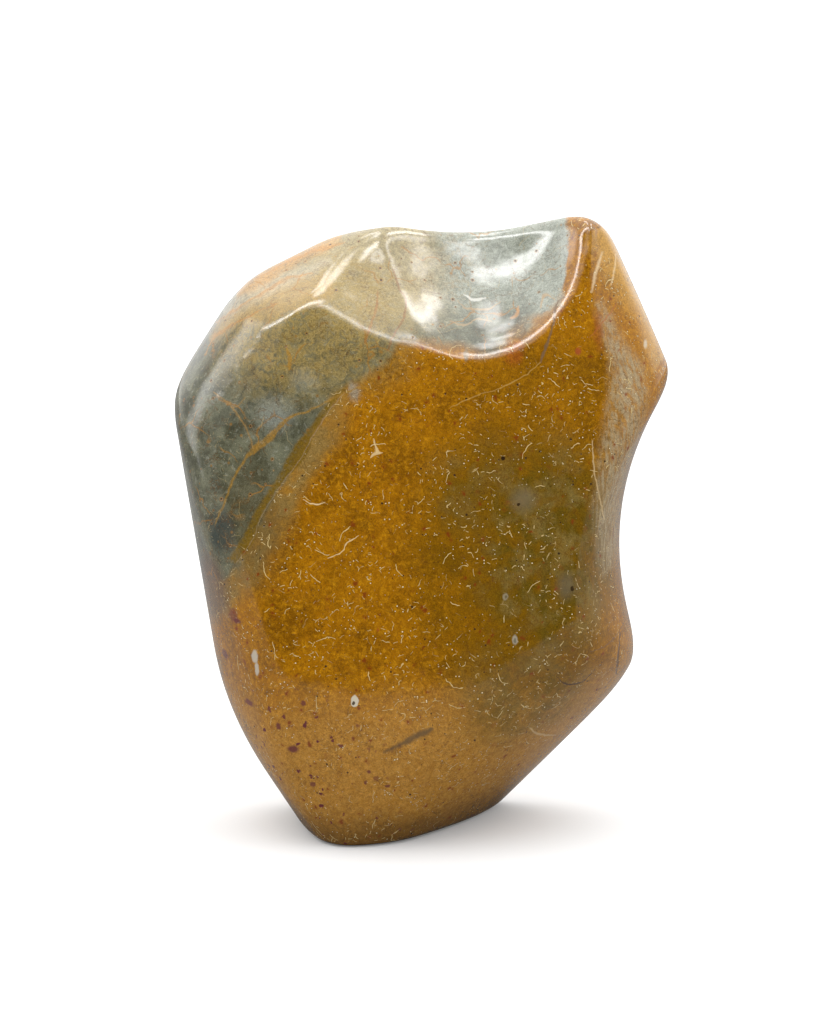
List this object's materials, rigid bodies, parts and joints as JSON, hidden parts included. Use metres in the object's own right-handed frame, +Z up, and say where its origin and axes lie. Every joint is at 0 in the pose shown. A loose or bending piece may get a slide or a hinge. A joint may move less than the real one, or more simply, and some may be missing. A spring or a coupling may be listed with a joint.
{
  "type": "polished jasper freeform stone",
  "caption": "Polished free-form jasper stone with a dished top and a hollowed waist, standing upright on a flat cut across its foot.",
  "frame": {"origin": "centre of the stone's plan outline, on the plane of its flat base", "axes": "+Z up from the base to the top, +Y from the pictured front to the back, +X to the right as seen from the front"},
  "size_m": [0.1144, 0.0596, 0.1409],
  "materials": {
    "polished_jasper": "polished"
  },
  "bodies": {
    "root": {"jasper_stone": "polished_jasper"}
  },
  "joints": []
}
